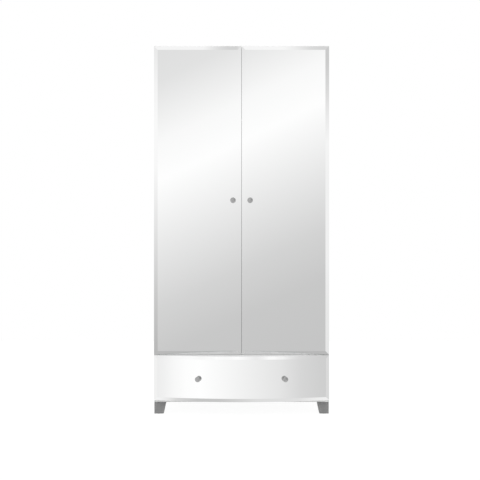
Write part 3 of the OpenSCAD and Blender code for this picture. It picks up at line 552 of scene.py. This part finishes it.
# Millimetres back from the lever's finger tab, and up
LEVER_OUTLINE = [(0, -2.2), (7, -3.2), (16, -3.0), (22, -1.6), (52, -1.4), (60, -3.4), (64, -3.4),
                 (64, 1.2), (58, 1.4), (50, 1.2), (22, 1.6), (12, 2.6), (4, 2.4), (0, 1.4)]
LEVER_BACK = 10 * MM         # of the tab, from the front end of the runner's inner member
LEVER_SIDES = (1.4 * MM, 2.9 * MM)      # from the outer face of the member's web
LEVER_EDGE = 0.3 * MM        # width of its softened edges


def make_release_levers():
    """Plastic lever inside the front of each runner's inner member, which lets the drawer go."""
    bm = bmesh.new()
    for node, outward in (("left_runner_inner", -1), ("right_runner_inner", 1)):
        low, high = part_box(node)
        web_x = high.x if outward < 0 else low.x
        middle_z = (low.z + high.z) / 2
        near, far = [[bm.verts.new((web_x + outward * side, low.y + LEVER_BACK + back * MM,
                                    middle_z + up * MM)) for back, up in LEVER_OUTLINE]
                     for side in LEVER_SIDES]
        bm.faces.new(near)
        bm.faces.new(list(reversed(far)))
        bridge(bm, far, near)
    bmesh.ops.recalc_face_normals(bm, faces=bm.faces)
    piece = new_piece("runner_release_levers", bm, "drawer", "glide_plastic")
    soften = piece.modifiers.new("soft_edges", "BEVEL")
    soften.width = LEVER_EDGE
    soften.segments = 2


LINING_T = 1 * MM
LINING_INSET = 0.5 * MM      # of its rear face, from the rear face of the ribs
LINING_EDGE = 16 * MM        # from the ends of the ribs, and up and down into them


def make_front_lining():
    """Thin sheet that closes the hollow between the drawer front's ribs at the back."""
    low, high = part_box("drawer_front_blocks")
    size = Vector((high.x - low.x - 2 * LINING_EDGE, LINING_T, high.z - low.z - 2 * LINING_EDGE))
    middle = Vector(((low.x + high.x) / 2, high.y - LINING_INSET - LINING_T / 2,
                     (low.z + high.z) / 2))
    bm = bmesh.new()
    bmesh.ops.create_cube(bm, size=1.0, matrix=Matrix.LocRotScale(middle, None, size))
    new_piece("drawer_front_lining", bm, "drawer", "thin_sheet")


def make_hardware():
    make_screws()
    make_arm_screws()
    make_back_nails()
    make_release_levers()
    make_front_lining()


# ------------------------------------------------------------------ light for the mirrors

# The world shows the mirrors a studio that depends only on the direction of their rays. Its
# parts across (to the right), back and up run from -1 to 1. A table lists values of one part
# with their greys. A pair is a soft edge: nothing at its first value and all at its second.

AHEAD = (0.20, 0.10)         # across, to either side, of what counts as straight ahead

# Ahead, a soft bright band above eye level, against up; there it slopes up to the right
SKY = [(-0.30, 0.54), (-0.08, 0.61), (-0.03, 0.69), (0.03, 0.85), (0.10, 1.05), (0.14, 1.0),
       (0.20, 0.80), (0.28, 0.74), (0.60, 0.76)]
SKY_SLOPE = 0.48
# The same beyond the studio's wings, left and right
LEFT_WING = [(-0.12, 0.49), (-0.05, 0.635), (0.0, 0.78), (0.04, 0.895), (0.075, 0.99),
             (0.12, 1.0), (0.155, 0.955), (0.19, 0.87), (0.60, 0.80)]
RIGHT_WING = [(-0.20, 0.81), (-0.07, 0.85), (-0.02, 0.915), (0.06, 0.93), (0.10, 0.96),
              (0.125, 0.87), (0.152, 0.735), (0.18, 0.63), (0.60, 0.64)]
WINGS_FROM = (0.24, 0.28)
# Two soft panels overhead, against across
OVERHEAD = [(-0.10, 0.97), (-0.037, 0.966), (-0.022, 0.772), (-0.0136, 0.697), (-0.003, 0.68),
            (0.0035, 0.975), (0.044, 0.984), (0.059, 0.863), (0.071, 0.745), (0.082, 0.70),
            (0.10, 0.69)]
OVERHEAD_FROM = (0.30, 0.36)
# Above the horizon the light falls off to both sides, against across
FALL_OFF = [(-0.75, 0.80), (-0.57, 0.90), (-0.48, 0.99), (-0.37, 1.03), (-0.30, 1.0),
            (0.30, 1.0), (0.37, 0.84), (0.43, 0.76), (0.60, 0.68), (0.75, 0.72)]

# Below the horizon, a pale floor that darkens to the right, against across
GROUND = [(-0.74, 0.93), (-0.66, 0.885), (-0.57, 0.90), (-0.48, 0.99), (-0.40, 1.04),
          (-0.30, 1.06), (-0.15, 1.0), (0.14, 0.88), (0.28, 0.82), (0.43, 0.71), (0.60, 0.645),
          (0.68, 0.645), (0.74, 0.74)]
GROUND_BELOW = (-0.1175, -0.1195)
DIMMER_NEAR = [(-0.58, 0.78), (-0.33, 0.80), (-0.175, 1.0)]     # and close by, against up
# Well to either side, haze softens the horizon
HAZE_BEYOND = (0.31, 0.40)
HAZE_BELOW = (0.03, -0.115)
# Near the doors the floor ahead is dark, and close to them it is graded, against across
NEAR = (0.51, 0.51, 0.51, 1)
NEAR_BELOW = (-0.22, -0.27)
CLOSE = [(-0.60, 1.00), (-0.51, 0.87), (-0.45, 0.71), (-0.31, 0.59), (-0.16, 0.60), (0.0, 0.69),
         (0.10, 0.76), (0.40, 0.79), (0.49, 0.88), (0.58, 0.93)]
CLOSE_BELOW = (-0.330, -0.345)

# All of that is seen through a window to the front, with these soft edges
WINDOW_ASIDE = (0.90, 0.78)
WINDOW_DOWN = (-0.58, -0.44)
WINDOW_UP = (0.62, 0.48)
WINDOW_FRONT = (0.1, -0.1)
# All round, outside it: a pale floor, a dim skirting, a bright band and a pale wall, against up
AROUND = [(-1.0, 0.96), (-0.6, 0.91), (-0.34, 0.86), (-0.16, 0.73), (-0.06, 0.64), (0.0, 0.69),
          (0.05, 0.83), (0.11, 0.96), (0.16, 0.95), (0.24, 0.84), (0.45, 0.80), (1.0, 0.86)]
AROUND_BACK = [(-1.0, 1.0), (0.0, 0.97), (1.0, 0.88)]      # less light from behind the wardrobe
SWELLS = 6                   # soft upright panels of light, evenly round it
SWELL_HEIGHT = 0.07          # share that they add and take away


def between(tree, value, low, high):
    """value mapped so that low gives 0 and high gives 1, and held to that beyond them."""
    node = add(tree, "ShaderNodeMapRange", From_Min=low, From_Max=high)
    tree.links.new(value, node.inputs["Value"])
    return node.outputs["Result"]


def graded(tree, value, table):
    """Grey that a table gives for a value."""
    low, high = table[0][0], table[-1][0]
    stops = [((at - low) / (high - low), grey) for at, grey in table]
    return ramp(tree, between(tree, value, low, high), stops)


def crossfade(tree, share, first, second):
    """Two colours, of which share is the second."""
    node = tree.nodes.new("ShaderNodeMix")
    node.data_type = "RGBA"
    for value, name in ((share, "Factor"), (first, "A"), (second, "B")):
        feed(tree, value, node.inputs[name])
    return node.outputs["Result"]


def sky_light(tree, across, up, ahead):
    """The band, its wings and the panels overhead."""
    slope = product(tree, across, SKY_SLOPE, ahead)
    light = graded(tree, math_node(tree, "SUBTRACT", up, slope), SKY)
    for side, wing in ((-1, LEFT_WING), (1, RIGHT_WING)):
        beyond = between(tree, across, *(side * edge for edge in WINGS_FROM))
        light = crossfade(tree, beyond, light, graded(tree, up, wing))
    high = product(tree, between(tree, up, *OVERHEAD_FROM), ahead)
    light = crossfade(tree, high, light, graded(tree, across, OVERHEAD))
    return product(tree, light, graded(tree, across, FALL_OFF))


def front_light(tree, across, aside, up):
    """What the window to the front shows: the sky over the floor."""
    ahead = between(tree, aside, *AHEAD)
    ground = product(tree, graded(tree, across, GROUND), graded(tree, up, DIMMER_NEAR))
    haze = product(tree, between(tree, up, *HAZE_BELOW), between(tree, aside, *HAZE_BEYOND))
    low = math_node(tree, "MAXIMUM", between(tree, up, *GROUND_BELOW), haze)
    near = product(tree, between(tree, up, *NEAR_BELOW), ahead)
    close = between(tree, up, *CLOSE_BELOW)
    light = crossfade(tree, low, sky_light(tree, across, up, ahead), ground)
    light = crossfade(tree, near, light, NEAR)
    return crossfade(tree, close, light, graded(tree, across, CLOSE))


def all_round_light(tree, across, back, up):
    """The plain studio outside the window."""
    turn = product(tree, math_node(tree, "ARCTAN2", across, back), SWELLS)
    swell = product(tree, math_node(tree, "SINE", turn), SWELL_HEIGHT)
    return product(tree, graded(tree, up, AROUND), graded(tree, back, AROUND_BACK),
                   math_node(tree, "ADD", swell, 1.0))


def mirrored_light(tree):
    """What the world shows to the mirrors' rays, by their direction."""
    parts = tree.nodes.new("ShaderNodeSeparateXYZ")
    tree.links.new(tree.nodes.new("ShaderNodeTexCoord").outputs["Generated"], parts.inputs[0])
    across, back, up = parts.outputs
    aside = math_node(tree, "ABSOLUTE", across)
    window = product(tree, between(tree, back, *WINDOW_FRONT), between(tree, aside, *WINDOW_ASIDE),
                     between(tree, up, *WINDOW_DOWN), between(tree, up, *WINDOW_UP))
    return crossfade(tree, window, all_round_light(tree, across, back, up),
                     front_light(tree, across, aside, up))


# ------------------------------------------------------------------ studio

PURE_WHITE = (1, 1, 1, 1)
EVEN_LIGHT = 0.80            # the world's strength on rough surfaces


def make_world():
    """White to the camera, even light on the object, and the mirrors' studio to glossy rays."""
    world = bpy.data.worlds.new("studio")
    bpy.context.scene.world = world
    world.use_nodes = True
    tree = world.node_tree
    tree.nodes.clear()
    path = tree.nodes.new("ShaderNodeLightPath")
    even = add(tree, "ShaderNodeBackground", Color=PURE_WHITE, Strength=EVEN_LIGHT)
    seen = add(tree, "ShaderNodeBackground", Color=PURE_WHITE, Strength=1.0)
    mirrored = add(tree, "ShaderNodeBackground", Strength=1.0)
    tree.links.new(mirrored_light(tree), mirrored.inputs["Color"])
    glossy = math_node(tree, "MAXIMUM", path.outputs["Is Glossy Ray"],
                       path.outputs["Is Transmission Ray"])
    on_object = mixed_shaders(tree, glossy, even, mirrored)
    surface = mixed_shaders(tree, path.outputs["Is Camera Ray"], on_object, seen)
    output = tree.nodes.new("ShaderNodeOutputWorld")
    tree.links.new(surface.outputs[0], output.inputs["Surface"])


FLOOR_HALF = 3.4
FLOOR_GREY = (0.9, 0.9, 0.9, 1)
LIFT_STRENGTH = 1.06         # of the glow that lifts the floor towards white
LIFT_SHARE = 0.9             # its share of what the camera sees


def floor_material():
    """Pale floor, lifted towards white for the camera, with the shadow kept."""
    material, tree, shader = new_material("studio_floor")
    shader.inputs["Base Color"].default_value = FLOOR_GREY
    shader.inputs["Roughness"].default_value = 0.9
    shader.inputs["Specular IOR Level"].default_value = 0.0
    path = tree.nodes.new("ShaderNodeLightPath")
    lift = add(tree, "ShaderNodeEmission", Color=PURE_WHITE, Strength=LIFT_STRENGTH)
    lifted = mixed_shaders(tree, LIFT_SHARE, shader, lift)
    surface = mixed_shaders(tree, path.outputs["Is Camera Ray"], shader, lifted)
    tree.links.new(surface.outputs[0], tree.nodes["Material Output"].inputs["Surface"])
    return material


def make_floor():
    """Floor for the camera and the light; what mirrors see of it is part of the world."""
    mesh = bpy.data.meshes.new("floor")
    mesh.from_pydata([(x * FLOOR_HALF, y * FLOOR_HALF, 0)
                      for x, y in ((-1, -1), (1, -1), (1, 1), (-1, 1))], [], [(0, 1, 2, 3)])
    floor = bpy.data.objects.new("floor", mesh)
    bpy.context.collection.objects.link(floor)
    mesh.materials.append(floor_material())
    floor.visible_glossy = False


LAMP_SIZE = 2.4
LAMP_TARGET = Vector((0, 0, 0.95))      # the middle of the wardrobe


def soft_lamp(name, place, power):
    """Square lamp that points at the wardrobe and that neither camera nor mirrors see."""
    data = bpy.data.lights.new(name, "AREA")
    data.shape = "SQUARE"
    data.size = LAMP_SIZE
    data.energy = power
    lamp = bpy.data.objects.new(name, data)
    bpy.context.collection.objects.link(lamp)
    lamp.location = place
    lamp.rotation_euler = (LAMP_TARGET - Vector(place)).to_track_quat("-Z", "Y").to_euler()
    lamp.visible_glossy = False
    lamp.visible_camera = False


CAMERA_DISTANCE = 5.0        # from the doors' mirrors
CAMERA_X = -0.008
CAMERA_Z = 0.898
VIEW_WIDTH = 2.466           # what the picture takes in at the doors


def make_camera():
    """Camera straight in front of the doors and level."""
    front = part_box("left_door_mirror")[0].y
    data = bpy.data.cameras.new("camera")
    data.sensor_width = 36.0
    data.lens = data.sensor_width * CAMERA_DISTANCE / VIEW_WIDTH
    camera = bpy.data.objects.new("camera", data)
    bpy.context.collection.objects.link(camera)
    camera.location = (CAMERA_X, front - CAMERA_DISTANCE, CAMERA_Z)
    camera.rotation_euler = (math.radians(90), 0, 0)
    bpy.context.scene.camera = camera


def make_studio():
    make_world()
    make_floor()
    soft_lamp("key_lamp", (-2.2, -3.6, 3.2), power=60)
    soft_lamp("fill_lamp", (2.6, -3.2, 2.0), power=25)
    soft_lamp("back_lamp", (0.6, 3.4, 2.8), power=40)
    make_camera()
    bpy.context.scene.view_settings.view_transform = "Standard"


dress_frame()
make_hardware()
make_studio()
